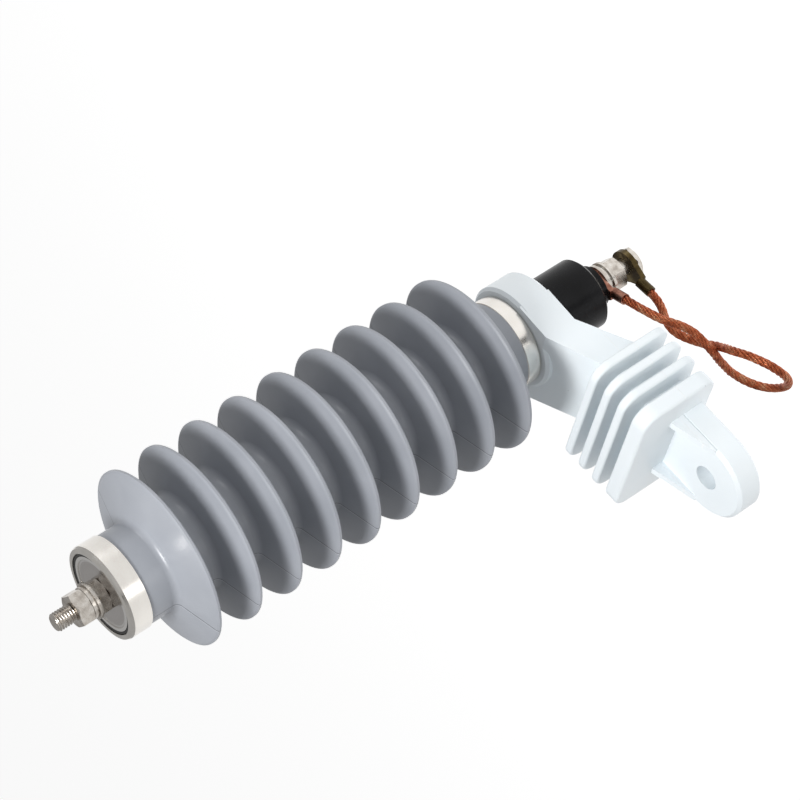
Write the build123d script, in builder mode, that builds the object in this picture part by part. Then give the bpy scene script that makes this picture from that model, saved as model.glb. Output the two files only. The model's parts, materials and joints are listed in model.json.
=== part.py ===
# Distribution surge arrester on an insulating bracket, with a ground lead disconnector.
# Frame: the origin is the centre of the bracket's mounting hole, on the ear's mid-plane.
# +Z points up along the arrester, towards the line terminal. +X points from the mounting
# hole to the arrester. All sizes are in millimetres.
import os
from math import cos, pi, radians, sin, tan

from build123d import *

os.makedirs("parts", exist_ok=True)

# ---- bracket -------------------------------------------------------------------------
arm_reach = 122.9            # mounting hole to arrester axis
ear_thickness = 16.0
ear_half_width = 24.5
mount_hole_r = 7.0
boss_r = 29.5
boss_height = 20.0
boss_bottom_z = 17.1
boss_bore_r = 5.4
boss_edge = 1.6
arm_root_half_width = 28.2   # where the level root ends
arm_tip_half_width = 27.0    # where the arm meets the first rib
arm_tip_bottom_z = -3.9
arm_tip_top_z = 20.5
level_root_margin = 1.2      # the level root reaches this far beyond the disconnector
rib_count = 3
rib_pitch = 10.6
rib_thickness = 5.0
rib_first = 54.6             # near face of the first rib, from the arrester axis
rib_bottom_z = -12.8
rib_top_z = 37.8
rib_half_width = 42.6        # at the upper edge
rib_bottom_half_width = 43.2
rib_top_corner_r = 10.0
rib_bottom_corner_r = 9.0
rib_edge_r = 1.6
flange_thickness = 9.5
flange_inset = 0.4
gusset_thickness = 4.0
gusset_height = 8.0
gusset_length = 26.0
gusset_knee = 6.0
ear_edge = 1.8

# ---- housing -------------------------------------------------------------------------
shed_count = 9
shed_pitch = 25.0
shed_r = 49.25
shed_rim = 2.8
shed_underside_drop = 0.6
shed_slope = 7.6             # rise of a shed's upper face from rim to root
trunk_r = 25.2
root_fillet = 3.6
first_shed_z = 66.1          # centre of the lowest rim
collar_r = 24.3              # housing end that the caps hold
collar_clearance = 0.2
collar_length = 7.6
housing_bore_r = 19.6

# ---- end caps ------------------------------------------------------------------------
bottom_cap_wall = 1.0
bottom_cap_r = collar_r + collar_clearance + bottom_cap_wall
bottom_cap_height = 9.2
bottom_cap_step = 0.5
bottom_cap_floor = 1.2
top_cap_wall = 1.5
top_cap_r = collar_r + collar_clearance + top_cap_wall
top_cap_height = 13.0
top_cap_lip_r = 2.2
top_cap_lip_width = 3.3
top_cap_mouth_r = top_cap_r - top_cap_lip_width
top_cap_edge_z = 289.1       # lower edge of the upper cap

# ---- inside the housing --------------------------------------------------------------
tube_wall = 2.0
tube_clearance = 0.2
electrode_spigot = 16.0
spigot_clearance = 0.2
varistor_count = 8
varistor_r = 16.5
varistor_height = 24.0
contact_plate = 2.0
spring_height = 10.0
spring_wall = 2.2
base_stud_r = 5.0
base_stud_depth = 12.0       # thread held in the lower electrode

# ---- line terminal -------------------------------------------------------------------
stud_r = 5.0
stud_pitch_r = 4.6           # where a thread is engaged
stud_end_chamfer = 0.9
nut_flats = 16.6
nut_height = 8.0
washer_r = 10.0
washer_thickness = 1.7
spring_washer_r = 8.8
spring_washer_height = 2.2
base_nut_height = 6.0
line_stud_length = 43.4
line_stud_in_electrode = 14.0
seal_section_r = 0.8
seal_clearance = 0.05
disc_r = top_cap_mouth_r - 2 * (seal_section_r + seal_clearance)
disc_thickness = 1.4
disc_rim = 1.7
disc_recess = 0.5

# ---- disconnector --------------------------------------------------------------------
disconnector_r = 20.2
arm_start = disconnector_r + level_root_margin
disconnector_length = 32.5
disconnector_wall = 3.4
disconnector_edge = 1.6
disconnector_nose_r = 12.0
disconnector_nose = 7.0
top_contact_height = 6.0
grading_ring_r = 10.0
grading_ring_bore_r = 5.2
grading_ring_height = 12.0
cartridge_r = 4.0
stud_head_r = 12.0
stud_head_height = 3.0
palm_r = 8.8
end_palm_r = 9.2              # second lug
palm_thickness = 3.0
palm_hole_r = 5.2
barrel_r = 3.1
barrel_start = 12.5
barrel_length = 9.0
neck_width = 5.6
lug_turn = 24.0              # first lug, turned from the arm's direction
end_lug_turn = 6.0
free_thread = 5.5            # bare thread between the first nut and the second lug
thin_nut_height = 3.2
stud_tail = 1.6

# ---- earth lead ----------------------------------------------------------------------
lead_d = 4.8
lead_in_barrel = 5.5
lead_first_run = 13.8
lead_last_run = 13.0

arrester_axis = Axis((arm_reach, 0, 0), (0, 0, 1))
section = Plane(origin=(arm_reach, 0, 0), x_dir=(1, 0, 0), z_dir=(0, -1, 0))


def level(z):
    return Plane(origin=(arm_reach, 0, z), x_dir=(1, 0, 0), z_dir=(0, 0, 1))


def hex_blank(z, flats, height, bore):
    """Hexagonal nut with both ends turned down at the corners."""
    tall = 2 * height
    with BuildPart() as blank:
        with BuildSketch(level(z)):
            RegularPolygon(radius=flats / 2, side_count=6, major_radius=False)
            Circle(radius=bore, mode=Mode.SUBTRACT)
        extrude(amount=height)
        crown = flats / 2 / cos(pi / 6)
        drop = (crown - flats / 2) * 0.58
        with BuildSketch(section):
            with BuildLine():
                Polyline(
                    (0, z - tall),
                    (flats / 2, z - drop * 0.05),
                    (flats / 2, z),
                    (crown, z + drop),
                    (crown, z + height - drop),
                    (flats / 2, z + height),
                    (0, z + height),
                    (0, z - tall),
                )
            make_face()
        revolve(axis=arrester_axis, mode=Mode.INTERSECT)
    return blank.part


def washer(z, height, outer, bore, slit=0.0):
    with BuildPart() as ring:
        with BuildSketch(level(z)):
            Circle(radius=outer)
            Circle(radius=bore, mode=Mode.SUBTRACT)
            if slit > 0:
                with Locations((0, (outer + bore) / 2)):
                    Rectangle(slit, 2 * (outer - bore), rotation=12, mode=Mode.SUBTRACT)
        extrude(amount=height)
    return ring.part


# ---- bracket: boss, arm, ribs, flange and ear in one moulding ------------------------
flange_start = rib_first + rib_count * rib_pitch
rib_height = rib_top_z - rib_bottom_z


def rib_plane(distance):
    return Plane(
        origin=(arm_reach - distance, 0, (rib_top_z + rib_bottom_z) / 2),
        x_dir=(0, 1, 0),
        z_dir=(-1, 0, 0),
    )


def rib_outline(inset):
    """Rounded plate outline; local y runs against Z on the rib planes."""
    wide = rib_half_width - inset
    narrow = rib_bottom_half_width - inset
    half_h = rib_height / 2 - inset
    Polygon((-wide, -half_h), (wide, -half_h), (narrow, half_h), (-narrow, half_h), align=None)


with BuildPart() as mounting_bracket:
    for i in range(rib_count):
        with BuildSketch(rib_plane(rib_first + i * rib_pitch)):
            rib_outline(0)
        extrude(amount=rib_thickness)
    with BuildSketch(rib_plane(flange_start)):
        rib_outline(flange_inset)
    extrude(amount=flange_thickness)
    corners = mounting_bracket.edges().filter_by(Axis.X)
    upper = [e for e in corners if e.center().Z > 0.5 * (rib_top_z + rib_bottom_z)]
    fillet(upper, radius=rib_top_corner_r)
    corners = mounting_bracket.edges().filter_by(Axis.X)
    lower = [e for e in corners if e.center().Z < rib_bottom_z + 4]
    fillet(lower, radius=rib_bottom_corner_r)
    rims = mounting_bracket.faces().filter_by(Axis.X).edges()
    fillet(rims, radius=rib_edge_r)
    # core under the ribs
    with BuildSketch(Plane(
        origin=(arm_reach - rib_first, 0, (arm_tip_top_z + arm_tip_bottom_z) / 2),
        x_dir=(0, 1, 0),
        z_dir=(-1, 0, 0),
    )):
        Rectangle(2 * arm_tip_half_width, arm_tip_top_z - arm_tip_bottom_z)
    extrude(amount=flange_start - rib_first)
    # tapering arm
    with BuildSketch(Plane(
        origin=(arm_reach - arm_start, 0, boss_bottom_z + boss_height / 2),
        x_dir=(0, 1, 0),
        z_dir=(-1, 0, 0),
    )):
        Rectangle(2 * arm_root_half_width, boss_height)
    with BuildSketch(Plane(
        origin=(arm_reach - rib_first - 1, 0, (arm_tip_top_z + arm_tip_bottom_z) / 2),
        x_dir=(0, 1, 0),
        z_dir=(-1, 0, 0),
    )):
        Rectangle(2 * arm_tip_half_width, arm_tip_top_z - arm_tip_bottom_z)
    loft()
    # level root between the boss and the tapering arm
    with BuildSketch(level(boss_bottom_z)):
        with BuildLine():
            Polyline(
                (0, boss_r - 0.2),
                (-arm_start, arm_root_half_width),
                (-arm_start, -arm_root_half_width),
                (0, -boss_r + 0.2),
                close=True,
            )
        make_face()
    extrude(amount=boss_height)
    # round boss
    with BuildSketch(section):
        with BuildLine():
            Polyline(
                (0, boss_bottom_z),
                (boss_r - boss_edge, boss_bottom_z),
                (boss_r, boss_bottom_z + boss_edge),
                (boss_r, boss_bottom_z + boss_height - boss_edge),
                (boss_r - boss_edge, boss_bottom_z + boss_height),
                (0, boss_bottom_z + boss_height),
                close=True,
            )
        make_face()
    revolve(axis=arrester_axis)
    # mounting ear with its rounded end
    ear_root = arm_reach - flange_start
    with BuildSketch(Plane.XY.offset(-ear_thickness / 2)):
        Circle(radius=ear_half_width)
        with Locations((ear_root / 2, 0)):
            Rectangle(ear_root, 2 * ear_half_width)
    extrude(amount=ear_thickness)
    end_rims = [
        e for e in mounting_bracket.edges()
        if abs(abs(e.center().Z) - ear_thickness / 2) < 0.01 and e.center().X < 0
    ]
    chamfer(end_rims, length=ear_edge)
    # side walls that stiffen the ear at the flange
    gusset_x = arm_reach - flange_start - flange_thickness
    for side in (-1, 1):
        inner = side * (ear_half_width - gusset_thickness / 2)
        with BuildSketch(Plane(
            origin=(0, inner + gusset_thickness / 2, 0),
            x_dir=(1, 0, 0),
            z_dir=(0, -1, 0),
        )):
            with BuildLine():
                Polyline(
                    (gusset_x + 1, ear_thickness / 2 - 1),
                    (gusset_x + 1, ear_thickness / 2 + gusset_height),
                    (gusset_x - gusset_knee, ear_thickness / 2 + gusset_height * 0.72),
                    (gusset_x - gusset_length, ear_thickness / 2),
                    (gusset_x - gusset_length, ear_thickness / 2 - 1),
                    close=True,
                )
            make_face()
        extrude(amount=gusset_thickness)
    with BuildSketch(Plane.XY.offset(-ear_thickness)):
        Circle(radius=mount_hole_r)
    extrude(amount=2 * ear_thickness, mode=Mode.SUBTRACT)
    with BuildSketch(level(boss_bottom_z - 1)):
        Circle(radius=boss_bore_r)
    extrude(amount=boss_height + 2, mode=Mode.SUBTRACT)
mounting_bracket.part.label = "mounting_bracket"
export_step(mounting_bracket.part, "parts/mounting_bracket.step")

# ---- lower end cap: a shallow pressed cup round the housing's end --------------------
cap_z = boss_bottom_z + boss_height
with BuildPart() as bottom_end_cap:
    with BuildSketch(section):
        with BuildLine():
            Polyline(
                (base_stud_r + 0.2, cap_z),
                (bottom_cap_r - 1.4, cap_z),
                (bottom_cap_r - 1.4, cap_z + bottom_cap_step),
                (bottom_cap_r - 0.5, cap_z + bottom_cap_step),
                (bottom_cap_r, cap_z + bottom_cap_step + 0.5),
                (bottom_cap_r, cap_z + bottom_cap_height - 0.4),
                (bottom_cap_r - 0.3, cap_z + bottom_cap_height),
                (bottom_cap_r - bottom_cap_wall, cap_z + bottom_cap_height),
                (bottom_cap_r - bottom_cap_wall, cap_z + bottom_cap_floor),
                (base_stud_r + 0.2, cap_z + bottom_cap_floor),
                close=True,
            )
        make_face()
    revolve(axis=arrester_axis)
bottom_end_cap.part.label = "bottom_end_cap"
export_step(bottom_end_cap.part, "parts/bottom_end_cap.step")

# ---- housing: one silicone moulding with equal sheds ---------------------------------
housing_bottom = cap_z + bottom_cap_height - collar_length
housing_top = top_cap_edge_z + collar_length
with BuildPart() as housing:
    with BuildSketch(section):
        with BuildLine():
            profile = [
                (housing_bore_r, housing_bottom),
                (collar_r, housing_bottom),
                (collar_r, cap_z + bottom_cap_height),
                (trunk_r, cap_z + bottom_cap_height),
            ]
            for k in range(shed_count):
                z = first_shed_z + k * shed_pitch
                profile.append((trunk_r, z - shed_rim / 2 - shed_underside_drop))
                profile.append((shed_r - 1.2, z - shed_rim / 2))
                profile.append((shed_r, z - shed_rim / 2 + 0.8))
                profile.append((shed_r, z + shed_rim / 2 - 0.8))
                profile.append((shed_r - 1.2, z + shed_rim / 2))
                profile.append((trunk_r, z + shed_slope))
            profile.append((trunk_r, top_cap_edge_z))
            profile.append((collar_r, top_cap_edge_z))
            profile.append((collar_r, housing_top))
            profile.append((housing_bore_r, housing_top))
            Polyline(*profile, close=True)
        make_face()
    revolve(axis=arrester_axis)
    roots = [
        e for e in housing.edges().filter_by(GeomType.CIRCLE)
        if abs(e.radius - trunk_r) < 0.01
        and first_shed_z - shed_pitch / 2 < e.center().Z
        and e.center().Z < first_shed_z + (shed_count - 0.5) * shed_pitch
    ]
    fillet(roots, radius=root_fillet)
housing.part.label = "housing"
export_step(housing.part, "parts/housing.step")

# ---- upper end cap: rolled over at its mouth -----------------------------------------
top_cap_top = top_cap_edge_z + top_cap_height
with BuildPart() as top_end_cap:
    with BuildSketch(section):
        with BuildLine():
            Polyline(
                (top_cap_r - top_cap_wall, top_cap_edge_z),
                (top_cap_r - 0.3, top_cap_edge_z),
                (top_cap_r, top_cap_edge_z + 0.3),
                (top_cap_r, top_cap_top - top_cap_lip_r),
                (top_cap_r - 0.65, top_cap_top - 0.65),
                (top_cap_r - top_cap_lip_r, top_cap_top),
                (top_cap_mouth_r + 0.4, top_cap_top),
                (top_cap_mouth_r, top_cap_top - 0.4),
                (top_cap_mouth_r, top_cap_top - 2.4),
                (top_cap_r - top_cap_wall, top_cap_top - 2.4),
                close=True,
            )
        make_face()
    revolve(axis=arrester_axis)
top_end_cap.part.label = "top_end_cap"
export_step(top_end_cap.part, "parts/top_end_cap.step")

# ---- electrodes, tube and the varistor column ----------------------------------------
tube_outer_r = housing_bore_r - tube_clearance
tube_inner_r = tube_outer_r - tube_wall
lower_flange = housing_bottom - (cap_z + bottom_cap_floor)
spigot_r = tube_inner_r - spigot_clearance
disc_seat = top_cap_top - 1.0 - disc_thickness
lower_spigot_top = housing_bottom + electrode_spigot
upper_spigot_bottom = housing_top - electrode_spigot
base_stud_top = housing_bottom + base_stud_depth
with BuildPart() as bottom_electrode:
    with BuildSketch(level(cap_z + bottom_cap_floor)):
        Circle(radius=bottom_cap_r - bottom_cap_wall - 0.1)
        Circle(radius=base_stud_r, mode=Mode.SUBTRACT)
    extrude(amount=lower_flange)
    with BuildSketch(level(housing_bottom)):
        Circle(radius=spigot_r)
    extrude(amount=electrode_spigot)
    with BuildSketch(level(housing_bottom - 1)):
        Circle(radius=base_stud_r)
    extrude(amount=base_stud_top - housing_bottom + 1, mode=Mode.SUBTRACT)
bottom_electrode.part.label = "bottom_electrode"
export_step(bottom_electrode.part, "parts/bottom_electrode.step")

stud_root = disc_seat - line_stud_in_electrode
with BuildPart() as top_electrode:
    with BuildSketch(level(housing_top)):
        Circle(radius=top_cap_r - top_cap_wall - 0.1)
    extrude(amount=top_cap_top - 2.4 - housing_top)
    with BuildSketch(level(top_cap_top - 2.5)):
        Circle(radius=disc_r)
    extrude(amount=disc_seat - top_cap_top + 2.5)
    with BuildSketch(level(upper_spigot_bottom)):
        Circle(radius=spigot_r)
    extrude(amount=electrode_spigot + 0.1)
    with BuildSketch(level(stud_root)):
        Circle(radius=stud_pitch_r)
    extrude(amount=line_stud_in_electrode + 1, mode=Mode.SUBTRACT)
top_electrode.part.label = "top_electrode"
export_step(top_electrode.part, "parts/top_electrode.step")

with BuildPart() as reinforcing_tube:
    with BuildSketch(level(housing_bottom)):
        Circle(radius=tube_outer_r)
        Circle(radius=tube_inner_r, mode=Mode.SUBTRACT)
    extrude(amount=housing_top - housing_bottom)
reinforcing_tube.part.label = "reinforcing_tube"
export_step(reinforcing_tube.part, "parts/reinforcing_tube.step")

column_z = lower_spigot_top
with BuildPart() as contact_spring:
    with BuildSketch(level(column_z)):
        Circle(radius=varistor_r - 2)
        Circle(radius=varistor_r - 2 - spring_wall, mode=Mode.SUBTRACT)
    extrude(amount=spring_height)
contact_spring.part.label = "contact_spring"
export_step(contact_spring.part, "parts/contact_spring.step")
column_z += spring_height

with BuildPart() as lower_contact_plate:
    with BuildSketch(level(column_z)):
        Circle(radius=varistor_r)
    extrude(amount=contact_plate)
lower_contact_plate.part.label = "lower_contact_plate"
export_step(lower_contact_plate.part, "parts/lower_contact_plate.step")
column_z += contact_plate

for k in range(varistor_count):
    with BuildPart() as varistor:
        with BuildSketch(level(column_z)):
            Circle(radius=varistor_r)
        extrude(amount=varistor_height)
    varistor.part.label = f"varistor_block_{k + 1}"
    export_step(varistor.part, f"parts/varistor_block_{k + 1}.step")
    column_z += varistor_height

with BuildPart() as upper_contact_plate:
    with BuildSketch(level(column_z)):
        Circle(radius=varistor_r)
    extrude(amount=contact_plate)
upper_contact_plate.part.label = "upper_contact_plate"
export_step(upper_contact_plate.part, "parts/upper_contact_plate.step")
column_z += contact_plate

with BuildPart() as top_spacer:
    with BuildSketch(level(column_z)):
        Circle(radius=varistor_r)
    extrude(amount=upper_spigot_bottom - column_z)
top_spacer.part.label = "top_spacer"
export_step(top_spacer.part, "parts/top_spacer.step")

# ---- line terminal -------------------------------------------------------------------
disc_top = disc_seat + disc_thickness
with BuildPart() as name_disc:
    with BuildSketch(section):
        with BuildLine():
            Polyline(
                (stud_r + 0.2, disc_seat),
                (disc_r, disc_seat),
                (disc_r, disc_top),
                (disc_r - disc_rim, disc_top),
                (disc_r - disc_rim, disc_top - disc_recess),
                (stud_r + 0.2, disc_top - disc_recess),
                close=True,
            )
        make_face()
    revolve(axis=arrester_axis)
name_disc.part.label = "name_disc"
export_step(name_disc.part, "parts/name_disc.step")

with BuildPart() as seal_ring:
    with BuildSketch(section):
        with Locations(((disc_r + top_cap_mouth_r) / 2, top_cap_top - 2.4 + seal_section_r)):
            Circle(radius=seal_section_r)
    revolve(axis=arrester_axis)
seal_ring.part.label = "seal_ring"
export_step(seal_ring.part, "parts/seal_ring.step")

stack_z = disc_top - disc_recess
base_nut = hex_blank(stack_z, nut_flats, base_nut_height, stud_pitch_r)
base_nut.label = "terminal_base_nut"
export_step(base_nut, "parts/terminal_base_nut.step")
stack_z += base_nut_height
line_washer = washer(stack_z, washer_thickness, washer_r, stud_r + 0.25)
line_washer.label = "line_flat_washer"
export_step(line_washer, "parts/line_flat_washer.step")
stack_z += washer_thickness
line_spring = washer(stack_z, spring_washer_height, spring_washer_r, stud_r + 0.25, 1.6)
line_spring.label = "line_spring_washer"
export_step(line_spring, "parts/line_spring_washer.step")
stack_z += spring_washer_height
line_nut = hex_blank(stack_z, nut_flats, nut_height, stud_pitch_r)
line_nut.label = "line_terminal_nut"
export_step(line_nut, "parts/line_terminal_nut.step")

line_stud_top = stud_root + line_stud_length
line_nut_top = stack_z + nut_height
with BuildPart() as line_terminal_stud:
    with BuildSketch(section):
        with BuildLine():
            Polyline(
                (0, stud_root),
                (stud_pitch_r, stud_root),
                (stud_pitch_r, line_nut_top),
                (stud_r, line_nut_top),
                (stud_r, line_stud_top - stud_end_chamfer),
                (stud_r - stud_end_chamfer, line_stud_top),
                (0, line_stud_top),
                close=True,
            )
        make_face()
    revolve(axis=arrester_axis)
line_terminal_stud.part.label = "line_terminal_stud"
export_step(line_terminal_stud.part, "parts/line_terminal_stud.step")

# ---- disconnector --------------------------------------------------------------------
body_bottom = boss_bottom_z - disconnector_length
nose_bottom = body_bottom - disconnector_nose
cavity_r = disconnector_r - disconnector_wall
cavity_floor = body_bottom + disconnector_wall
with BuildPart() as disconnector_body:
    with BuildSketch(section):
        with BuildLine():
            Polyline(
                (stud_r + 0.1, nose_bottom),
                (disconnector_nose_r, nose_bottom),
                (disconnector_nose_r, body_bottom),
                (disconnector_r - disconnector_edge, body_bottom),
                (disconnector_r, body_bottom + disconnector_edge),
                (disconnector_r, boss_bottom_z),
                (cavity_r, boss_bottom_z),
                (cavity_r, cavity_floor),
                (stud_r + 0.1, cavity_floor),
                close=True,
            )
        make_face()
    revolve(axis=arrester_axis)
disconnector_body.part.label = "disconnector_body"
export_step(disconnector_body.part, "parts/disconnector_body.step")

contact_z = boss_bottom_z - top_contact_height
with BuildPart() as disconnector_top_contact:
    with BuildSketch(level(contact_z)):
        Circle(radius=cavity_r - 0.2)
        Circle(radius=base_stud_r, mode=Mode.SUBTRACT)
    extrude(amount=top_contact_height)
disconnector_top_contact.part.label = "disconnector_top_contact"
export_step(disconnector_top_contact.part, "parts/disconnector_top_contact.step")

with BuildPart() as base_stud:
    with BuildSketch(level(contact_z)):
        Circle(radius=base_stud_r)
    extrude(amount=base_stud_top - contact_z)
base_stud.part.label = "base_stud"
export_step(base_stud.part, "parts/base_stud.step")

ring_z = contact_z - grading_ring_height
with BuildPart() as grading_ring:
    with BuildSketch(level(ring_z)):
        Circle(radius=grading_ring_r)
        Circle(radius=grading_ring_bore_r, mode=Mode.SUBTRACT)
    extrude(amount=grading_ring_height)
grading_ring.part.label = "grading_ring"
export_step(grading_ring.part, "parts/grading_ring.step")

with BuildPart() as release_cartridge:
    with BuildSketch(level(ring_z)):
        Circle(radius=cartridge_r)
    extrude(amount=grading_ring_height)
release_cartridge.part.label = "release_cartridge"
export_step(release_cartridge.part, "parts/release_cartridge.step")

tail_z = nose_bottom - palm_thickness - 2 * washer_thickness - spring_washer_height
nut_z = tail_z - nut_height
palm2_z = nut_z - free_thread - palm_thickness
nut2_z = palm2_z - thin_nut_height
stud_bottom = nut2_z - stud_tail
with BuildPart() as disconnector_stud:
    with BuildSketch(section):
        with BuildLine():
            Polyline(
                (0, stud_bottom),
                (stud_r - stud_end_chamfer, stud_bottom),
                (stud_r, stud_bottom + stud_end_chamfer),
                (stud_r, cavity_floor),
                (stud_head_r, cavity_floor),
                (stud_head_r, ring_z),
                (0, ring_z),
                close=True,
            )
        make_face()
    revolve(axis=arrester_axis)
disconnector_stud.part.label = "disconnector_stud"
export_step(disconnector_stud.part, "parts/disconnector_stud.step")


def lug(palm_z, barrel_z, turn, palm):
    """Ring terminal: flat palm round the stud, short neck and a crimped barrel."""
    angle = 180 + turn
    out = Vector(cos(radians(angle)), sin(radians(angle)), 0)
    start = Vector(arm_reach, 0, barrel_z) + out * barrel_start
    with BuildPart() as terminal:
        with BuildSketch(level(palm_z)):
            Circle(radius=palm)
            across = Vector(-out.Y, out.X, 0)
            tip = out * (barrel_start + 1)
            with BuildLine():
                Polyline(
                    across * (0.88 * palm) + out * (0.4 * palm),
                    tip + across * (neck_width / 2),
                    tip - across * (neck_width / 2),
                    across * (-0.88 * palm) + out * (0.4 * palm),
                    close=True,
                )
            make_face()
            Circle(radius=palm_hole_r, mode=Mode.SUBTRACT)
        extrude(amount=palm_thickness)
        with BuildSketch(Plane(origin=start, z_dir=out)):
            Circle(radius=barrel_r)
        extrude(amount=barrel_length)
        with BuildSketch(Plane(origin=start + out * (barrel_length - lead_in_barrel), z_dir=out)):
            Circle(radius=lead_d / 2)
        extrude(amount=lead_in_barrel + 1, mode=Mode.SUBTRACT)
    return terminal.part


palm1_z = nose_bottom - palm_thickness
barrel1_z = palm1_z + palm_thickness - barrel_r
barrel2_z = palm2_z + barrel_r
lug_1 = lug(palm1_z, barrel1_z, lug_turn, palm_r)
lug_1.label = "lug_1"
export_step(lug_1, "parts/lug_1.step")
lug_2 = lug(palm2_z, barrel2_z, end_lug_turn, end_palm_r)
lug_2.label = "lug_2"
export_step(lug_2, "parts/lug_2.step")

washer_z = palm1_z - washer_thickness
earth_washer_1 = washer(washer_z, washer_thickness, washer_r, stud_r + 0.25)
earth_washer_1.label = "earth_flat_washer_1"
export_step(earth_washer_1, "parts/earth_flat_washer_1.step")
washer_z -= spring_washer_height
earth_spring = washer(washer_z, spring_washer_height, spring_washer_r, stud_r + 0.25, 1.6)
earth_spring.label = "earth_spring_washer"
export_step(earth_spring, "parts/earth_spring_washer.step")
washer_z -= washer_thickness
earth_washer_2 = washer(washer_z, washer_thickness, washer_r, stud_r + 0.25)
earth_washer_2.label = "earth_flat_washer_2"
export_step(earth_washer_2, "parts/earth_flat_washer_2.step")
earth_nut = hex_blank(nut_z, nut_flats, nut_height, stud_r)
earth_nut.label = "earth_nut"
export_step(earth_nut, "parts/earth_nut.step")
earth_nut_2 = hex_blank(nut2_z, nut_flats, thin_nut_height, stud_r)
earth_nut_2.label = "earth_end_nut"
export_step(earth_nut_2, "parts/earth_end_nut.step")

# ---- earth lead: straight runs joined by tangent arcs --------------------------------
lug_1_out = Vector(cos(radians(180 + lug_turn)), sin(radians(180 + lug_turn)), 0)
lug_2_out = Vector(cos(radians(180 + end_lug_turn)), sin(radians(180 + end_lug_turn)), 0)
seat_reach = barrel_start + barrel_length - lead_in_barrel
lead_start = Vector(arm_reach, 0, barrel1_z) + lug_1_out * seat_reach
lead_end = Vector(arm_reach, 0, barrel2_z) + lug_2_out * seat_reach
lead_route = [
    lead_start,
    lead_start + lug_1_out * lead_first_run,
    Vector(81.1, -12.2, -30.9),
    Vector(68.3, -13.9, -39.0),
    Vector(54.0, -9.4, -42.2),
    Vector(48.3, 3.0, -48.7),
    Vector(42.1, 14.5, -56.7),
    Vector(28.9, 15.9, -64.3),
    Vector(18.2, 5.9, -68.6),
    Vector(15.1, -8.4, -64.3),
    Vector(18.9, -20.8, -56.1),
    Vector(31.4, -24.6, -48.1),
    Vector(44.6, -17.3, -45.4),
    Vector(53.4, -5.4, -50.2),
    Vector(66.1, 1.3, -44.3),
    Vector(80.3, 1.0, -38.1),
    lead_end + lug_2_out * lead_last_run,
    lead_end,
]
lead_radii = []
for i in range(1, len(lead_route) - 1):
    before = lead_route[i] - lead_route[i - 1]
    after = lead_route[i + 1] - lead_route[i]
    shorter = min(before.length, after.length)
    turn = radians(before.get_angle(after))
    lead_radii.append(0.45 * shorter / tan(turn / 2))
print("lead radii mm:", [round(r, 1) for r in lead_radii])
with BuildPart() as earth_lead:
    with BuildLine():
        lead_line = FilletPolyline(*lead_route, radius=lead_radii)
    with BuildSketch(Plane(origin=lead_start, z_dir=lug_1_out)):
        Circle(radius=lead_d / 2)
    sweep()
lead_volume = pi * (lead_d / 2) ** 2 * lead_line.length
print("lead length mm:", round(lead_line.length, 1))
print("lead volume ratio:", round(earth_lead.part.volume / lead_volume, 4))
earth_lead.part.label = "earth_lead"
export_step(earth_lead.part, "parts/earth_lead.step")
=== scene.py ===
# %% [markdown]
# # Distribution surge arrester
# A surge arrester stands between a power line and the earth. Its grey rubber housing
# holds a stack of blocks that lead a lightning surge to ground, and its sheds keep rain
# from making a path along it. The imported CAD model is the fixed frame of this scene.
# One could model the whole product again in Blender, but then two models would have to
# agree. So every solid that is right as it is keeps its mesh and gets a material. Only
# the threads and the stranded lead are made here, because they are finer than the CAD.

import json
import math

import bmesh
import bpy
from mathutils import Matrix, Vector

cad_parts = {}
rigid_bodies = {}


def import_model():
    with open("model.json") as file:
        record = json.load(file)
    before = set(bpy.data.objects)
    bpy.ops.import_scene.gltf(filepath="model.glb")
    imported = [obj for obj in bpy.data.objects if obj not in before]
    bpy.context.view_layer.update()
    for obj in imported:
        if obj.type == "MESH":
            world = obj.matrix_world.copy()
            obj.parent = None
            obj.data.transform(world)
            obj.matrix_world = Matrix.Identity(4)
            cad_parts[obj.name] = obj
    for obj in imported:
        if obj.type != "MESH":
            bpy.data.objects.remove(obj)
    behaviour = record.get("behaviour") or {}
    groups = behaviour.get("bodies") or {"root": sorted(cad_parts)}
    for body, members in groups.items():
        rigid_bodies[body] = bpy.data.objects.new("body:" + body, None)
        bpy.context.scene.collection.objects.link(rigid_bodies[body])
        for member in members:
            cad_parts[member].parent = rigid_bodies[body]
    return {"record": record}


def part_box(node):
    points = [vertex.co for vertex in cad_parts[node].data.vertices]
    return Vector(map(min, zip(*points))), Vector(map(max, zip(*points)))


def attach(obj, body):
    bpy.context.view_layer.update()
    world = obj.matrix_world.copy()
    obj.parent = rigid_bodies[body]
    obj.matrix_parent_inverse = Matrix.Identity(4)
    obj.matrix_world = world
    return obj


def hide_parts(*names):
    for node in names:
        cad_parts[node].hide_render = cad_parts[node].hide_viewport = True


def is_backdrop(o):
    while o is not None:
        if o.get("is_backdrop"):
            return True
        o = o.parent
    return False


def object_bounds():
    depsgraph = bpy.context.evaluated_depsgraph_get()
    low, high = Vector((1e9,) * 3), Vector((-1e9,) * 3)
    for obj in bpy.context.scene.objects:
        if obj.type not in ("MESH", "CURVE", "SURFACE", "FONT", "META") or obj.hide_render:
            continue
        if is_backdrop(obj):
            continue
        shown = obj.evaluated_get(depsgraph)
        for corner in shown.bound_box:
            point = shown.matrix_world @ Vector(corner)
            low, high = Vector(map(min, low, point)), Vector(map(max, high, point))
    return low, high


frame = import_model()
scene = bpy.context.scene


def box_as_lists():
    """The corners of the box round everything that counts as the product."""
    low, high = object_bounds()
    return {"min": list(low), "max": list(high)}


sizes = {"cad": box_as_lists()}
print("CAD box", [round(high - low, 4) for low, high in zip(*sizes["cad"].values())])

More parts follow.
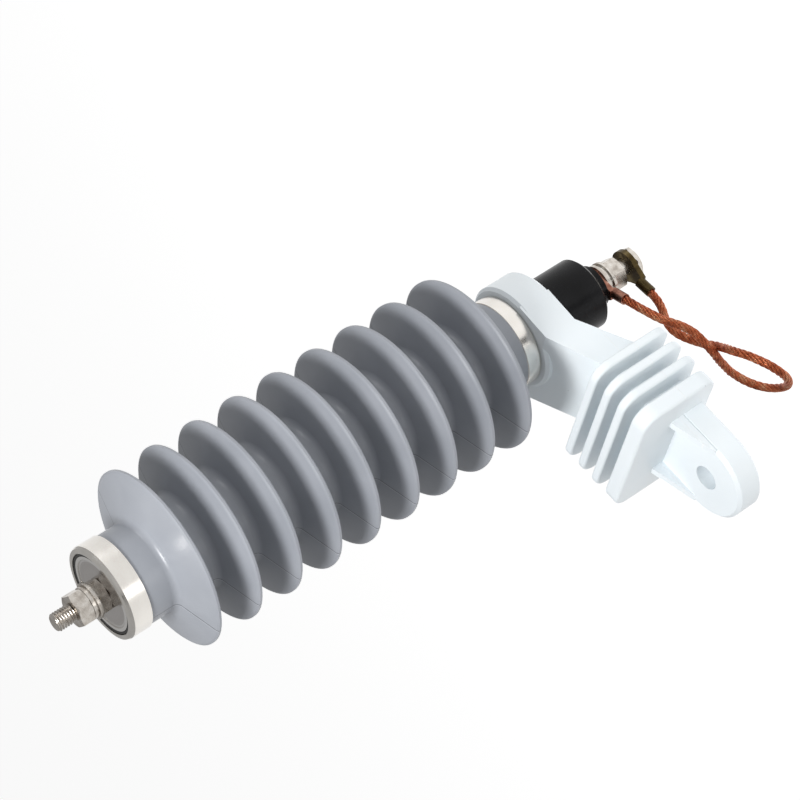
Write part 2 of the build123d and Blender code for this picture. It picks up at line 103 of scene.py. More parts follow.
# %% [markdown]
# ## Camera
# The camera stands off one side of the arrester and is rolled far over, so that the
# upright product lies across the frame with its line terminal at the lower left. It
# could be aimed with a Track To constraint, but that keeps its upper edge level. Three
# vectors in the model's own frame, for place, direction and upper edge, set the roll too.

# %% Camera
CAMERA_PLACE = Vector((-0.39834, -1.28220, 0.77504))
CAMERA_FORWARD = Vector((0.34128, 0.83418, -0.43322)).normalized()
CAMERA_UP = Vector((0.69818, -0.53355, -0.47736)).normalized()
CAMERA_LENS = 135.1

camera_data = bpy.data.cameras.new("camera")
camera = bpy.data.objects.new("camera", camera_data)
scene.collection.objects.link(camera)
scene.camera = camera
camera_right = CAMERA_FORWARD.cross(CAMERA_UP).normalized()
camera_up = camera_right.cross(CAMERA_FORWARD).normalized()
camera.matrix_world = Matrix((
    (camera_right.x, camera_up.x, -CAMERA_FORWARD.x, CAMERA_PLACE.x),
    (camera_right.y, camera_up.y, -CAMERA_FORWARD.y, CAMERA_PLACE.y),
    (camera_right.z, camera_up.z, -CAMERA_FORWARD.z, CAMERA_PLACE.z),
    (0, 0, 0, 1),
))
camera_data.lens = CAMERA_LENS
camera_data.sensor_width = 36.0
camera_data.clip_start = 0.05
camera_data.clip_end = 20.0
print("camera", camera.matrix_world.translation, "lens", camera_data.lens)

# %% [markdown]
# ## Earth lead
# The earth lead is a short copper rope from the disconnector to its last nut. It is
# free to move, so that the disconnector can drop away when it has worked. A bevelled
# curve would give a smooth hose. Real strands need a mesh, and they need a centreline
# first. The route is the CAD tube's own list of points, in metres, and they are the
# control points of one NURBS spline, which passes near them without a kink.

# %% Lead route
LUG_1_RUN = 0.0138
LUG_2_RUN = 0.0130
AXIS_X = 0.1229
SEAT_REACH = 0.0160
LUG_1_TURN = math.radians(24.0)
LUG_2_TURN = math.radians(6.0)
LUG_1_Z = -0.0255
LUG_2_Z = -0.0444
lug_1_out = Vector((-math.cos(LUG_1_TURN), -math.sin(LUG_1_TURN), 0.0))
lug_2_out = Vector((-math.cos(LUG_2_TURN), -math.sin(LUG_2_TURN), 0.0))
lead_start = Vector((AXIS_X, 0.0, LUG_1_Z)) + lug_1_out * SEAT_REACH
lead_end = Vector((AXIS_X, 0.0, LUG_2_Z)) + lug_2_out * SEAT_REACH
lead_route = [
    lead_start,
    lead_start + lug_1_out * LUG_1_RUN,
    Vector((0.0811, -0.0122, -0.0309)),
    Vector((0.0683, -0.0139, -0.0390)),
    Vector((0.0540, -0.0094, -0.0422)),
    Vector((0.0483, 0.0030, -0.0487)),
    Vector((0.0421, 0.0145, -0.0567)),
    Vector((0.0289, 0.0159, -0.0643)),
    Vector((0.0182, 0.0059, -0.0686)),
    Vector((0.0151, -0.0084, -0.0643)),
    Vector((0.0189, -0.0208, -0.0561)),
    Vector((0.0314, -0.0246, -0.0481)),
    Vector((0.0446, -0.0173, -0.0454)),
    Vector((0.0534, -0.0054, -0.0502)),
    Vector((0.0661, 0.0013, -0.0443)),
    Vector((0.0803, 0.0010, -0.0381)),
    lead_end + lug_2_out * LUG_2_RUN,
    lead_end,
]
print("lead control points", len(lead_route))

# %% [markdown]
# ## From a spline to even steps
# Blender works out a spline when the curve is turned into a mesh, so its vertices are
# points on the line. They aren't evenly spaced, and a helix laid on them would tighten
# where they crowd. Walking along the line in equal steps keeps the rope's lay even.
# Each point also carries two side directions, turned as little as possible from the
# last pair, because a fresh pair at every point could flip and twist the rope.


# %% Line helpers
def spline_points(route, resolution=14):
    """Points along the NURBS spline that has the route as its control points."""
    curve = bpy.data.curves.new("route", "CURVE")
    curve.dimensions = "3D"
    spline = curve.splines.new("NURBS")
    spline.points.add(len(route) - 1)
    for point, place in zip(spline.points, route):
        point.co = (*place, 1.0)
    spline.order_u = 3
    spline.use_endpoint_u = True
    spline.resolution_u = resolution
    carrier = bpy.data.objects.new("route", curve)
    mesh = bpy.data.meshes.new_from_object(carrier)
    points = [vertex.co.copy() for vertex in mesh.vertices]
    bpy.data.objects.remove(carrier)
    bpy.data.curves.remove(curve)
    bpy.data.meshes.remove(mesh)
    return points


def even_points(points, step):
    """The same line with points a fixed step apart."""
    travelled = [0.0]
    for a, b in zip(points, points[1:]):
        travelled.append(travelled[-1] + (b - a).length)
    total = travelled[-1]
    count = max(2, round(total / step))
    even = []
    at = 0
    for i in range(count + 1):
        target = total * i / count
        while at < len(points) - 2 and travelled[at + 1] < target:
            at += 1
        span = travelled[at + 1] - travelled[at]
        share = (target - travelled[at]) / span if span > 0 else 0.0
        even.append(points[at].lerp(points[at + 1], share))
    return even, total


def carried_frames(points):
    """A tangent and two steady side vectors at each point."""
    frames = []
    side = None
    for i, point in enumerate(points):
        before = points[max(i - 1, 0)]
        after = points[min(i + 1, len(points) - 1)]
        tangent = (after - before).normalized()
        if side is None:
            side = tangent.orthogonal().normalized()
        side = (side - tangent * side.dot(tangent)).normalized()
        frames.append((point, side.copy(), tangent.cross(side).normalized()))
    return frames


# %% [markdown]
# ## Strands
# A copper rope has strands laid round a core. An array of bent cylinders would do for a
# straight rope, but this one loops. So each strand is a tube along its own helix round
# the centreline. A slow drift in turn and reach keeps it from looking machine-made, and
# a UV map along each strand lets the material draw its fine wires.

# %% Rope values
SWAY_TURN, SWAY_RATE, SWAY_SHIFT = 0.05, 0.37, 1.9
DRIFT_TURN, DRIFT_RATE = 0.04, 0.11
REACH_SHARE, REACH_RATE, REACH_SHIFT = 0.05, 0.23, 2.3
ROPE_STEP = 0.0007


# %% Rope
def twisted_rope(name, points, strands, helix_r, strand_r, lay, ring, core_r):
    """Round strands laid in a helix round a core, as one mesh."""
    frames = carried_frames(points)
    step = (points[1] - points[0]).length
    mesh = bmesh.new()
    wire = mesh.loops.layers.uv.new("wire")

    def tube(centres, radius, sides):
        rings = []
        line = carried_frames(centres)
        for centre, u, v in line:
            rings.append([
                mesh.verts.new(
                    centre
                    + u * (radius * math.cos(2 * math.pi * k / sides))
                    + v * (radius * math.sin(2 * math.pi * k / sides))
                )
                for k in range(sides)
            ])
        for i in range(len(rings) - 1):
            for k in range(sides):
                n = (k + 1) % sides
                face = mesh.faces.new((rings[i][k], rings[i][n], rings[i + 1][n], rings[i + 1][k]))
                face.smooth = True
                corners = ((i, k), (i, k + 1), (i + 1, k + 1), (i + 1, k))
                for loop, (a, b) in zip(face.loops, corners):
                    loop[wire].uv = (a * step, b / sides)
        mesh.faces.new(list(reversed(rings[0])))
        mesh.faces.new(rings[-1])

    for s in range(strands):
        phase = 2 * math.pi * s / strands
        centres = []
        for i, (point, u, v) in enumerate(frames):
            wobble = SWAY_TURN * math.sin(i * SWAY_RATE + SWAY_SHIFT * s)
            wobble += DRIFT_TURN * math.sin(i * DRIFT_RATE + s)
            angle = phase + 2 * math.pi * i * step / lay + wobble
            reach = helix_r * (1 + REACH_SHARE * math.sin(i * REACH_RATE + REACH_SHIFT * s))
            centres.append(point + u * (reach * math.cos(angle)) + v * (reach * math.sin(angle)))
        tube(centres, strand_r, ring)
    tube([point for point, u, v in frames], core_r, ring)
    data = bpy.data.meshes.new(name)
    mesh.to_mesh(data)
    mesh.free()
    rope = bpy.data.objects.new(name, data)
    scene.collection.objects.link(rope)
    return rope


lead_line, lead_length = even_points(spline_points(lead_route), ROPE_STEP)
print("lead length", round(lead_length, 4), "points", len(lead_line))
STRAND_R = 0.00076
HELIX_R = 0.00163
CORE_R = 0.00125
ROPE_LAY = 0.024
earth_rope = twisted_rope(
    "earth_rope", lead_line, strands=7, helix_r=HELIX_R, strand_r=STRAND_R,
    lay=ROPE_LAY, ring=10, core_r=CORE_R,
)
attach(earth_rope, "root")
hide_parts("earth_lead")
print("rope faces", len(earth_rope.data.polygons))

# %% [markdown]
# ## Threads
# The line terminal is a threaded stud. Blender's Screw modifier can sweep a thread from
# a profile, and then its ends have to be closed by hand. Here a rod is built ring by
# ring instead, and each corner's radius depends on where it lies in the turn of the
# thread. The ends are closed flat, and a chamfer is one more limit on the radius. The
# earth thread lies over the CAD's plain stud, which fills its grooves.

# %% Threads
THREAD_R = 0.0050
THREAD_DEPTH = 0.00080
THREAD_PITCH = 0.0015
RINGS_PER_TURN = 10
CREST_SHARE = 0.12
FLANK_SHARE = 0.72
EARTH_HEAD_GAP = 0.0005


def add_object(name, mesh):
    """Turns a finished bmesh into an object in the scene."""
    data = bpy.data.meshes.new(name)
    mesh.to_mesh(data)
    mesh.free()
    made = bpy.data.objects.new(name, data)
    scene.collection.objects.link(made)
    return made


def threaded_rod(name, low, high, end, chamfer=0.0009, corners=40):
    """A threaded rod from low to high. end is the z of its free, chamfered end."""
    mesh = bmesh.new()
    step = THREAD_PITCH / RINGS_PER_TURN
    count = round((high - low) / step)
    rings = []
    for i in range(count + 1):
        z = low + (high - low) * i / count
        row = []
        for k in range(corners):
            angle = 2 * math.pi * k / corners
            phase = (z / THREAD_PITCH - k / corners) % 1.0
            rise = abs(2 * phase - 1)
            groove = min(1.0, max(0.0, (rise - CREST_SHARE) / FLANK_SHARE))
            radius = THREAD_R - THREAD_DEPTH * (1 - groove)
            from_end = abs(z - end)
            radius = min(radius, THREAD_R - chamfer + from_end)
            row.append(mesh.verts.new((
                AXIS_X + radius * math.cos(angle), radius * math.sin(angle), z,
            )))
        rings.append(row)
    for i in range(count):
        for k in range(corners):
            n = (k + 1) % corners
            face = mesh.faces.new(
                (rings[i][k], rings[i][n], rings[i + 1][n], rings[i + 1][k]))
            face.smooth = True
    mesh.faces.new(list(reversed(rings[0])))
    mesh.faces.new(rings[-1])
    return add_object(name, mesh)


line_low, line_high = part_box("line_terminal_stud")
line_thread = threaded_rod("line_thread", line_low[2], line_high[2], line_high[2])
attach(line_thread, "root")
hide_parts("line_terminal_stud")

earth_low, earth_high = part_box("disconnector_stud")
earth_top = earth_high[2] - EARTH_HEAD_GAP
earth_thread = threaded_rod("earth_thread", earth_low[2], earth_top, earth_low[2])
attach(earth_thread, "root")
print("thread faces", len(line_thread.data.polygons), len(earth_thread.data.polygons))

# %% [markdown]
# ## Shader effects
# Moulded skin, turning marks and mould lines turn up on several pieces. The nodes could
# be copied into each material, but a change would then have to be made many times. Each
# effect is a node group with named inputs, built once. It gives a mask or a value, and
# the material that uses it keeps its own Principled shader.


# %% Node helpers
def new_group(name, inputs, outputs):
    """An empty node group with its sockets named."""
    tree = bpy.data.node_groups.new(name, "ShaderNodeTree")
    for label, kind, value in inputs:
        socket = tree.interface.new_socket(label, in_out="INPUT", socket_type=kind)
        if value is not None:
            socket.default_value = value
    for label, kind in outputs:
        tree.interface.new_socket(label, in_out="OUTPUT", socket_type=kind)
    start = tree.nodes.new("NodeGroupInput")
    end = tree.nodes.new("NodeGroupOutput")
    return tree, start, end


def put(tree, kind, links=None, **values):
    """A node, its settings, and what feeds its sockets."""
    node = tree.nodes.new(kind)
    for key, value in values.items():
        setattr(node, key, value)
    for key, source in (links or {}).items():
        if isinstance(source, bpy.types.NodeSocket):
            tree.links.new(source, node.inputs[key])
        else:
            node.inputs[key].default_value = source
    return node


def math_node(tree, operation, a, b=0.0, clamp=False):
    """The result of one Math node."""
    node = put(tree, "ShaderNodeMath", {0: a, 1: b}, operation=operation, use_clamp=clamp)
    return node.outputs[0]


FLOAT = "NodeSocketFloat"
COLOUR = "NodeSocketColor"

# %% [markdown]
# ## Mould line
# A two-part mould leaves a fine raised line where its halves meet. It could be a strip
# of mesh, but it is thinner than the mesh's faces. A mask of the distance from the
# parting plane follows every shed without one more vertex.

# %% Mould line group
mould_line, g_in, g_out = new_group(
    "Mould line",
    [("Coordinate", FLOAT, 0.0), ("Width", FLOAT, 0.0003)],
    [("Mask", FLOAT)],
)
near = math_node(mould_line, "ABSOLUTE", g_in.outputs["Coordinate"])
ratio = math_node(mould_line, "DIVIDE", near, g_in.outputs["Width"])
inside = math_node(mould_line, "SUBTRACT", 1.0, ratio, clamp=True)
mould_line.links.new(inside, g_out.inputs["Mask"])
print("group", mould_line.name)

# %% [markdown]
# ## Skin grain
# No moulded or handled surface is one even colour. An image would show its edges and
# repeat. Two noises, one broad and one fine, are read in the object's own coordinates,
# so they hold still when the camera moves and need no unwrapping.

# %% Skin grain group
skin_grain, g_in, g_out = new_group(
    "Skin grain",
    [("Cloud scale", FLOAT, 40.0), ("Grain scale", FLOAT, 1800.0)],
    [("Cloud", FLOAT), ("Grain", FLOAT)],
)
place = put(skin_grain, "ShaderNodeTexCoord").outputs["Object"]
cloud = put(skin_grain, "ShaderNodeTexNoise", {
    "Vector": place, "Scale": g_in.outputs["Cloud scale"], "Detail": 3.0, "Roughness": 0.5,
})
grain = put(skin_grain, "ShaderNodeTexNoise", {
    "Vector": place, "Scale": g_in.outputs["Grain scale"], "Detail": 2.0, "Roughness": 0.6,
})
skin_grain.links.new(cloud.outputs["Fac"], g_out.inputs["Cloud"])
skin_grain.links.new(grain.outputs["Fac"], g_out.inputs["Grain"])
print("group", skin_grain.name)

# %% [markdown]
# ## Turned marks
# A lathe leaves rings round the axis of what it cuts. An anisotropic shader gives the
# streak of light alone. Here noise is read by radius and height only, so that it has to
# come out as rings, and the same radius places the grooves of the name disc.

# %% Turned marks group
turned_marks, g_in, g_out = new_group(
    "Turned marks",
    [("Radial scale", FLOAT, 9000.0), ("Axial scale", FLOAT, 9000.0)],
    [("Marks", FLOAT), ("Radius", FLOAT)],
)
place = put(turned_marks, "ShaderNodeTexCoord").outputs["Object"]
split = put(turned_marks, "ShaderNodeSeparateXYZ", {0: place})
off_axis = math_node(turned_marks, "SUBTRACT", split.outputs["X"], AXIS_X)
squares = math_node(
    turned_marks, "ADD",
    math_node(turned_marks, "POWER", math_node(turned_marks, "ABSOLUTE", off_axis), 2.0),
    math_node(
        turned_marks, "POWER",
        math_node(turned_marks, "ABSOLUTE", split.outputs["Y"]), 2.0),
)
radius_here = math_node(turned_marks, "SQRT", squares)
lathe = put(turned_marks, "ShaderNodeCombineXYZ", {
    "X": math_node(turned_marks, "MULTIPLY", radius_here, g_in.outputs["Radial scale"]),
    "Y": math_node(turned_marks, "MULTIPLY", split.outputs["Z"], g_in.outputs["Axial scale"]),
    "Z": 0.0,
})
marks = put(turned_marks, "ShaderNodeTexNoise", {
    "Vector": lathe.outputs[0], "Scale": 1.0, "Detail": 2.0, "Roughness": 0.6,
})
turned_marks.links.new(marks.outputs["Fac"], g_out.inputs["Marks"])
turned_marks.links.new(radius_here, g_out.inputs["Radius"])
print("group", turned_marks.name)

# %% [markdown]
# ## Strand wires
# Each strand is itself many thin wires. Modelling them would take millions of faces. A
# sine wave laid slantwise over the strand's UV map gives their ridges, and the bump and
# the dark oxide between the wires both come from it.

# %% Strand wires group
strand_wires, g_in, g_out = new_group(
    "Strand wires",
    [("Wires round", FLOAT, 9.0), ("Lay", FLOAT, 260.0)],
    [("Ridge", FLOAT)],
)
uv = put(strand_wires, "ShaderNodeUVMap", uv_map="wire")
split = put(strand_wires, "ShaderNodeSeparateXYZ", {0: uv.outputs[0]})
along = math_node(strand_wires, "MULTIPLY", split.outputs["X"], g_in.outputs["Lay"])
round_ = math_node(strand_wires, "MULTIPLY", split.outputs["Y"], g_in.outputs["Wires round"])
slant = math_node(strand_wires, "ADD", along, round_)
turn = math_node(strand_wires, "MULTIPLY", slant, 2 * math.pi)
ridge = math_node(strand_wires, "MULTIPLY_ADD", math_node(strand_wires, "SINE", turn), 0.5)
strand_wires.nodes[-1].inputs[2].default_value = 0.5
strand_wires.links.new(ridge, g_out.inputs["Ridge"])
print("group", strand_wires.name)


# %% [markdown]
# ## Materials
# Each finish is one short recipe: a colour that varies a little, a roughness that
# varies with it, and a faint bump. They could be set by hand in the editor, but in
# code the helpers below keep each recipe to a few lines.


# %% Material helpers
def new_material(name, **settings):
    """A material, its node tree and its Principled shader."""
    material = bpy.data.materials.new(name)
    material.use_nodes = True
    tree = material.node_tree
    shader = tree.nodes["Principled BSDF"]
    for key, value in settings.items():
        shader.inputs[key.replace("_", " ")].default_value = value
    return material, tree, shader


def use_group(tree, group, **values):
    """A node group placed in a material, with its inputs set by name."""
    node = tree.nodes.new("ShaderNodeGroup")
    node.node_tree = group
    for key, value in values.items():
        label = key.replace("_", " ")
        if isinstance(value, bpy.types.NodeSocket):
            tree.links.new(value, node.inputs[label])
        else:
            node.inputs[label].default_value = value
    return node


def ramp(tree, factor, stops):
    """A colour ramp with the given stops, each a place and a colour."""
    node = tree.nodes.new("ShaderNodeValToRGB")
    elements = node.color_ramp.elements
    elements[0].position, elements[0].color = stops[0][0], (*stops[0][1], 1)
    elements[1].position, elements[1].color = stops[-1][0], (*stops[-1][1], 1)
    for position, colour in stops[1:-1]:
        element = elements.new(position)
        element.color = (*colour, 1)
    tree.links.new(factor, node.inputs[0])
    return node.outputs[0]


def blend_colour(tree, factor, a, b):
    """Colour a where the factor is 0, and colour b where it is 1."""
    node = tree.nodes.new("ShaderNodeMix")
    node.data_type = "RGBA"
    for socket, value in ((node.inputs[0], factor), (node.inputs[6], a), (node.inputs[7], b)):
        if isinstance(value, bpy.types.NodeSocket):
            tree.links.new(value, socket)
        elif isinstance(value, tuple):
            socket.default_value = (*value, 1)
        else:
            socket.default_value = value
    return node.outputs[2]


def bump(tree, shader, height, distance, strength=1.0):
    """Feeds a Bump node to the shader's normal. The distance is in metres."""
    node = put(tree, "ShaderNodeBump", {
        "Height": height, "Distance": distance, "Strength": strength,
    })
    tree.links.new(node.outputs[0], shader.inputs["Normal"])


def spread(tree, value, low, high):
    """Maps 0..1 to low..high."""
    node = put(tree, "ShaderNodeMapRange", {"Value": value, "To Min": low, "To Max": high})
    return node.outputs[0]


# %% [markdown]
# ## Housing rubber
# The sheds are silicone rubber, moulded in two halves. Grey rubber could be one flat
# colour, but it looks like paint then. The cloud changes both colour and gloss a
# little, as handling does. A dark line along the parting is painted shade of its raised
# lip, and a paler one beside it is a painted highlight where that lip catches the light.

# %% Housing rubber
SHED_LINE_WIDTH = 0.00048
LIP_HIGHLIGHT_OFFSET = 0.00062
LIP_HIGHLIGHT_WIDTH = 0.00036
rubber, tree, shader = new_material("housing_rubber")
shader.inputs["Specular IOR Level"].default_value = 0.45
skin = use_group(tree, skin_grain, Cloud_scale=28.0, Grain_scale=2600.0)
place = put(tree, "ShaderNodeTexCoord").outputs["Object"]
split = put(tree, "ShaderNodeSeparateXYZ", {0: place})
line = use_group(tree, mould_line, Coordinate=split.outputs["Y"], Width=SHED_LINE_WIDTH)
base = ramp(tree, skin.outputs["Cloud"], [
    (0.30, (0.275, 0.290, 0.320)), (0.70, (0.325, 0.340, 0.372)),
])
# Painted highlight: a paler line just beside the parting, where the raised lip catches the light.
beside = math_node(tree, "SUBTRACT", split.outputs["Y"], LIP_HIGHLIGHT_OFFSET)
lip = use_group(tree, mould_line, Coordinate=beside, Width=LIP_HIGHLIGHT_WIDTH)
with_painted_highlight = blend_colour(tree, lip.outputs["Mask"], base, (0.50, 0.52, 0.56))
# Painted shade: a near-black line on the parting itself, in place of the shade at the raised lip.
lined = blend_colour(tree, line.outputs["Mask"], with_painted_highlight, (0.055, 0.058, 0.066))
tree.links.new(lined, shader.inputs["Base Color"])
tree.links.new(spread(tree, skin.outputs["Cloud"], 0.26, 0.40), shader.inputs["Roughness"])
fine = math_node(tree, "MULTIPLY", skin.outputs["Grain"], 0.12)
bump(tree, shader, math_node(tree, "ADD", line.outputs["Mask"], fine), 0.00015)
print("material", rubber.name)

# %% [markdown]
# ## Bracket plastic
# The bracket is a pale insulating moulding, a little see-through at its edges. Plain
# white would lose its ribs against a white floor. A cool tint, a trace of subsurface
# light and a few dark specks keep the form readable. Its parting line lies level.

# %% Bracket plastic
plastic, tree, shader = new_material("bracket_plastic")
shader.inputs["Subsurface Weight"].default_value = 0.03
shader.inputs["Subsurface Radius"].default_value = (0.004, 0.004, 0.0045)
skin = use_group(tree, skin_grain, Cloud_scale=22.0, Grain_scale=1500.0)
place = put(tree, "ShaderNodeTexCoord").outputs["Object"]
split = put(tree, "ShaderNodeSeparateXYZ", {0: place})
PARTING_Z = 0.0100
SPECK_RADIUS = 0.035
SPECK_STRENGTH = 0.35
across = math_node(tree, "SUBTRACT", split.outputs["Z"], PARTING_Z)
line = use_group(tree, mould_line, Coordinate=across, Width=0.00022)
base = ramp(tree, skin.outputs["Cloud"], [
    (0.30, (0.80, 0.855, 0.89)), (0.72, (0.85, 0.90, 0.925)),
])
lined = blend_colour(tree, line.outputs["Mask"], base, (0.90, 0.92, 0.93))
specks = put(tree, "ShaderNodeTexVoronoi", {"Vector": place, "Scale": 90.0})
speck = math_node(tree, "LESS_THAN", specks.outputs["Distance"], SPECK_RADIUS)
faint = math_node(tree, "MULTIPLY", speck, SPECK_STRENGTH)
dirtied = blend_colour(tree, faint, lined, (0.25, 0.27, 0.29))
tree.links.new(dirtied, shader.inputs["Base Color"])
tree.links.new(spread(tree, skin.outputs["Cloud"], 0.32, 0.46), shader.inputs["Roughness"])
fine = math_node(tree, "MULTIPLY", skin.outputs["Grain"], 0.25)
bump(tree, shader, math_node(tree, "ADD", fine, line.outputs["Mask"]), 0.0001)
print("material", plastic.name)

# %% [markdown]
# ## Cap steel
# The end caps are polished steel. A mirror finish would show the empty studio and look
# like glass, so turning marks roughen it in rings and a faint stain warms its colour.

# %% Cap steel
steel, tree, shader = new_material("cap_steel", Metallic=1.0)
lathe = use_group(tree, turned_marks, Radial_scale=5200.0, Axial_scale=7000.0)
stain = use_group(tree, skin_grain, Cloud_scale=55.0, Grain_scale=900.0)
tree.links.new(ramp(tree, stain.outputs["Cloud"], [
    (0.30, (0.72, 0.69, 0.65)), (0.65, (0.86, 0.83, 0.78)),
]), shader.inputs["Base Color"])
tree.links.new(spread(tree, lathe.outputs["Marks"], 0.14, 0.30), shader.inputs["Roughness"])
bump(tree, shader, lathe.outputs["Marks"], 0.00001, 0.5)
print("material", steel.name)

# %% [markdown]
# ## Bolt steel
# Nuts, washers and studs are steel that has been handled. They could share the caps'
# material, but turning marks would be wrong on a hexagon. Their stain has a smaller
# scale, because the pieces are small, and the fine grain alone sets the roughness.

# %% Bolt steel
bolt_steel, tree, shader = new_material("bolt_steel", Metallic=1.0)
stain = use_group(tree, skin_grain, Cloud_scale=260.0, Grain_scale=2400.0)
tree.links.new(ramp(tree, stain.outputs["Cloud"], [
    (0.32, (0.40, 0.36, 0.32)), (0.52, (0.58, 0.54, 0.49)), (0.75, (0.74, 0.71, 0.67)),
]), shader.inputs["Base Color"])
tree.links.new(spread(tree, stain.outputs["Grain"], 0.16, 0.36), shader.inputs["Roughness"])
bump(tree, shader, stain.outputs["Grain"], 0.00002, 0.6)
print("material", bolt_steel.name)

# %% [markdown]
# ## Name disc
# A thin metal disc closes the upper cap. On a real one it would carry the maker's
# words. Here it stays plain, with a bright rim and one groove, both masks by radius.

# %% Name disc
DISC_RIM_R = 0.0192
GROOVE_INNER_R = 0.0179
GROOVE_OUTER_R = 0.0189
disc_steel, tree, shader = new_material("disc_metal", Metallic=1.0)
lathe = use_group(tree, turned_marks, Radial_scale=8000.0, Axial_scale=2000.0)
rim = math_node(tree, "GREATER_THAN", lathe.outputs["Radius"], DISC_RIM_R)
outside = math_node(tree, "GREATER_THAN", lathe.outputs["Radius"], GROOVE_INNER_R)
within = math_node(tree, "LESS_THAN", lathe.outputs["Radius"], GROOVE_OUTER_R)
groove = math_node(tree, "MULTIPLY", outside, within)
face = blend_colour(tree, lathe.outputs["Marks"], (0.40, 0.375, 0.36), (0.72, 0.69, 0.66))
ringed = blend_colour(tree, groove, face, (0.72, 0.70, 0.68))
rimmed = blend_colour(tree, rim, ringed, (0.86, 0.84, 0.81))
tree.links.new(rimmed, shader.inputs["Base Color"])
tree.links.new(spread(tree, lathe.outputs["Marks"], 0.10, 0.24), shader.inputs["Roughness"])
bump(tree, shader, lathe.outputs["Marks"], 0.00001, 0.5)
print("material", disc_steel.name)

# %% [markdown]
# ## Disconnector plastic
# The disconnector's case is glossy black plastic. Pure black has no form at all, so its
# colour is a little above it, and a low specular level keeps the white studio from
# turning it grey.

# %% Disconnector plastic
black, tree, shader = new_material("disconnector_plastic")
shader.inputs["Specular IOR Level"].default_value = 0.13
skin = use_group(tree, skin_grain, Cloud_scale=60.0, Grain_scale=2200.0)
tree.links.new(ramp(tree, skin.outputs["Cloud"], [
    (0.3, (0.004, 0.004, 0.0045)), (0.7, (0.009, 0.009, 0.010)),
]), shader.inputs["Base Color"])
tree.links.new(spread(tree, skin.outputs["Cloud"], 0.16, 0.34), shader.inputs["Roughness"])
bump(tree, shader, skin.outputs["Grain"], 0.00003, 0.6)
print("material", black.name)

# %% [markdown]
# ## Seal rubber
# A thin ring of matt rubber keeps water out round the disc. At this size only its
# darkness shows, so it has a grain in its colour and no bump.

# %% Seal rubber
seal, tree, shader = new_material("seal_rubber", Roughness=0.55)
skin = use_group(tree, skin_grain, Cloud_scale=200.0, Grain_scale=3000.0)
tree.links.new(ramp(tree, skin.outputs["Grain"], [
    (0.3, (0.008, 0.008, 0.008)), (0.7, (0.02, 0.02, 0.02)),
]), shader.inputs["Base Color"])
print("material", seal.name)

# %% [markdown]
# ## Lead copper
# Bare copper is bright where it rubs and brown where it doesn't. One metal colour would
# look like new wire. The tarnish gives three tones, and the grooves between the fine
# wires are darkened with oxide by the strand group's ridge.

# %% Lead copper
copper, tree, shader = new_material("lead_copper", Metallic=1.0)
wires = use_group(tree, strand_wires, Wires_round=8.0, Lay=420.0)
tarnish = use_group(tree, skin_grain, Cloud_scale=210.0, Grain_scale=2600.0)
bright = ramp(tree, tarnish.outputs["Cloud"], [
    (0.28, (0.36, 0.085, 0.035)), (0.48, (0.84, 0.22, 0.09)), (0.72, (1.0, 0.50, 0.28)),
])
grooved = blend_colour(tree, wires.outputs["Ridge"], (0.16, 0.045, 0.025), bright)
tree.links.new(grooved, shader.inputs["Base Color"])
tree.links.new(spread(tree, tarnish.outputs["Grain"], 0.26, 0.48), shader.inputs["Roughness"])
bump(tree, shader, wires.outputs["Ridge"], 0.00018)
print("material", copper.name)

# %% [markdown]
# ## Lug metals
# The lugs are pressed from sheet and crimped on the rope. One is copper and the other
# is dull brass. A single metal would hide that they are two pieces, so each has its
# own three tones of tarnish over the same grain.

# %% Lug metals
lug_copper, tree, shader = new_material("lug_copper", Metallic=1.0)
tarnish = use_group(tree, skin_grain, Cloud_scale=170.0, Grain_scale=2400.0)
tree.links.new(ramp(tree, tarnish.outputs["Cloud"], [
    (0.30, (0.16, 0.065, 0.045)), (0.52, (0.36, 0.17, 0.12)), (0.72, (0.62, 0.40, 0.32)),
]), shader.inputs["Base Color"])
tree.links.new(spread(tree, tarnish.outputs["Grain"], 0.28, 0.5), shader.inputs["Roughness"])
bump(tree, shader, tarnish.outputs["Grain"], 0.00004, 0.7)

lug_brass, tree, shader = new_material("lug_brass", Metallic=1.0)
tarnish = use_group(tree, skin_grain, Cloud_scale=150.0, Grain_scale=2400.0)
tree.links.new(ramp(tree, tarnish.outputs["Cloud"], [
    (0.30, (0.03, 0.021, 0.010)), (0.55, (0.095, 0.068, 0.028)), (0.76, (0.34, 0.27, 0.14)),
]), shader.inputs["Base Color"])
tree.links.new(spread(tree, tarnish.outputs["Grain"], 0.24, 0.46), shader.inputs["Roughness"])
bump(tree, shader, tarnish.outputs["Grain"], 0.00004, 0.7)
print("materials", lug_copper.name, lug_brass.name)

# %% [markdown]
# ## Hidden pieces
# Electrodes, blocks and the wound tube lie inside the housing. They could stay grey,
# because no view shows them. They get simple finishes so that the model also holds up
# when someone takes it apart.

# %% Hidden pieces
aluminium, tree, shader = new_material("electrode_aluminium", Metallic=1.0)
lathe = use_group(tree, turned_marks, Radial_scale=3000.0, Axial_scale=3000.0)
turned = blend_colour(tree, lathe.outputs["Marks"], (0.68, 0.68, 0.70), (0.85, 0.85, 0.87))
tree.links.new(turned, shader.inputs["Base Color"])
tree.links.new(spread(tree, lathe.outputs["Marks"], 0.25, 0.42), shader.inputs["Roughness"])

oxide, tree, shader = new_material("varistor_ceramic", Roughness=0.55)
skin = use_group(tree, skin_grain, Cloud_scale=80.0, Grain_scale=1400.0)
fired = blend_colour(tree, skin.outputs["Grain"], (0.035, 0.04, 0.045), (0.08, 0.085, 0.09))
tree.links.new(fired, shader.inputs["Base Color"])

wound, tree, shader = new_material("tube_composite", Roughness=0.35)
lathe = use_group(tree, turned_marks, Radial_scale=300.0, Axial_scale=900.0)
fibres = blend_colour(tree, lathe.outputs["Marks"], (0.45, 0.38, 0.18), (0.66, 0.58, 0.34))
tree.links.new(fibres, shader.inputs["Base Color"])
print("materials", aluminium.name, oxide.name, wound.name)

